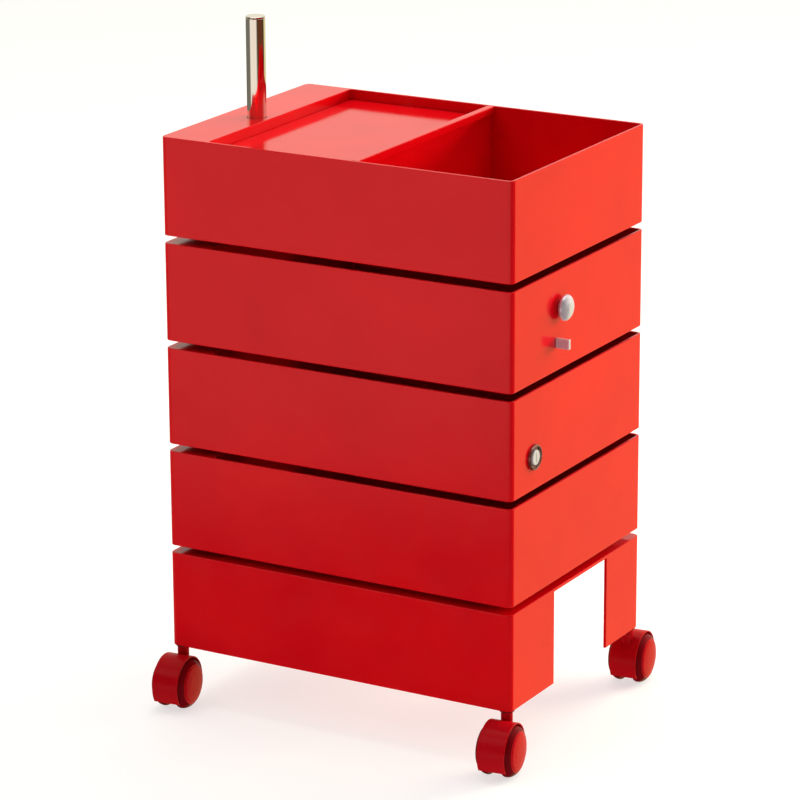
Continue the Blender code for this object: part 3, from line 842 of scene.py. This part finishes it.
def make_world():
    """What the gloss mirrors: a pale sweep behind, a dim room in front and soft tones in place of the floor.

    The camera itself sees an even, pale backdrop.
    """
    world = bpy.data.worlds.new("studio")
    world.use_nodes = True
    tree = world.node_tree
    ray = tree.nodes.new("ShaderNodeTexCoord").outputs["Generated"]

    def ramp(value, start, end, low=0.0, high=1.0):
        """Goes smoothly from low to high as value goes from start to end."""
        made = tree.nodes.new("ShaderNodeMapRange")
        made.interpolation_type = "SMOOTHSTEP"
        for name, number in (("From Min", start), ("From Max", end), ("To Min", low), ("To Max", high)):
            made.inputs[name].default_value = number
        tree.links.new(value, made.inputs["Value"])
        return made.outputs["Result"]

    def towards(aim):
        """Cosine of the angle between the ray and aim."""
        made = tree.nodes.new("ShaderNodeVectorMath")
        made.operation = "DOT_PRODUCT"
        made.inputs[1].default_value = aim
        tree.links.new(ray, made.inputs[0])
        return made.outputs["Value"]

    def combine(operation, first, *others):
        """The operation over all the values, two at a time."""
        value = first
        for other in others:
            made = tree.nodes.new("ShaderNodeMath")
            made.operation = operation
            tree.links.new(value, made.inputs[0])
            tree.links.new(other, made.inputs[1])
            value = made.outputs["Value"]
        return value

    def tinted(base, colour, amount):
        """The base colour, mixed with another by amount."""
        made = tree.nodes.new("ShaderNodeMix")
        made.data_type = "RGBA"
        tree.links.new(base, made.inputs["A"])
        made.inputs["B"].default_value = (*colour, 1)
        tree.links.new(amount, made.inputs["Factor"])
        return made.outputs["Result"]

    height = towards((0, 0, 1))
    under_horizon = ramp(height, -0.16, -0.08, 1.0, 0.0)

    # Brightness of each region; the brightest counts
    sweep = ramp(towards(direction(115, 25)), -0.20, 0.50, ROOM_DIM, SWEEP_BRIGHT)
    sweep = combine("MULTIPLY", sweep, ramp(height, -0.20, 0.05, 0.10, 1.0))
    strip = ramp(towards(direction(-90, -8)), 0.62, 0.88, 0.0, STRIP_BRIGHT)
    strip_foot = ramp(height, -0.324, -0.304)
    strip_head = ramp(height, 0.0, 0.12, 1.0, 0.0)
    strip = combine("MULTIPLY", strip, strip_foot, strip_head)
    warm = ramp(towards(direction(88, -14)), 0.77, 0.85, 0.0, WARM_BRIGHT)
    warm = combine("MULTIPLY", warm, ramp(height, -0.10, 0.0, 1.0, 0.0))
    brown = ramp(towards(direction(0, -15)), 0.72, 0.86, 0.0, BROWN_BRIGHT)
    brown = combine("MULTIPLY", brown, under_horizon)
    grey = ramp(towards(direction(-170, -15)), 0.70, 0.90, 0.0, GREY_BRIGHT)
    grey = combine("MULTIPLY", grey, under_horizon)
    light = combine("MAXIMUM", sweep, strip, warm, brown, grey)

    # Colour of each region
    far_right = combine("MULTIPLY", ramp(towards(direction(110, -14)), 0.86, 0.95), under_horizon)
    neutral = tree.nodes.new("ShaderNodeRGB")
    neutral.outputs[0].default_value = (1.0, 0.97, 0.84, 1)
    colour = tinted(neutral.outputs[0], (1.0, 0.95, 0.42), warm)
    colour = tinted(colour, (1.0, 0.78, 0.78), far_right)
    colour = tinted(colour, (1.0, 0.93, 0.86), strip)
    colour = tinted(colour, (1.0, 0.36, 0.16), ramp(brown, 0.0, 0.06))

    studio = tree.nodes["Background"]
    tree.links.new(colour, studio.inputs["Color"])
    tree.links.new(light, studio.inputs["Strength"])
    backdrop = tree.nodes.new("ShaderNodeBackground")
    backdrop.inputs["Color"].default_value = (0.90, 0.90, 0.88, 1)
    seen = tree.nodes.new("ShaderNodeMixShader")
    tree.links.new(tree.nodes.new("ShaderNodeLightPath").outputs["Is Camera Ray"], seen.inputs[0])
    tree.links.new(studio.outputs[0], seen.inputs[1])
    tree.links.new(backdrop.outputs[0], seen.inputs[2])
    tree.links.new(seen.outputs[0], tree.nodes["World Output"].inputs["Surface"])
    bpy.context.scene.world = world


def make_lights():
    """Three soft lights; the side one lights the lock end and isn't mirrored."""
    side = softbox("side", (1.7, 2.9, 1.05), (0, 0, 0.35), (2.0, 1.0), SIDE_WATTS, WARM_WHITE)
    side.visible_glossy = False
    softbox("upper_front", (-1.4, -2.6, 3.0), (0, 0, 0.4), (1.8, 1.8), UPPER_WATTS, WHITE)
    softbox("top", (0.0, 0.5, 3.0), (0, 0, 0.3), (2.5, 2.5), TOP_WATTS, WHITE)
    bpy.context.scene.view_settings.view_transform = "Standard"


make_camera()
make_floor()
make_world()
make_lights()
make_plinth()
make_post()
make_trays()
make_pen_tray()
make_knob_and_tab()
make_lock()
make_castors()
dress_kept_nodes()
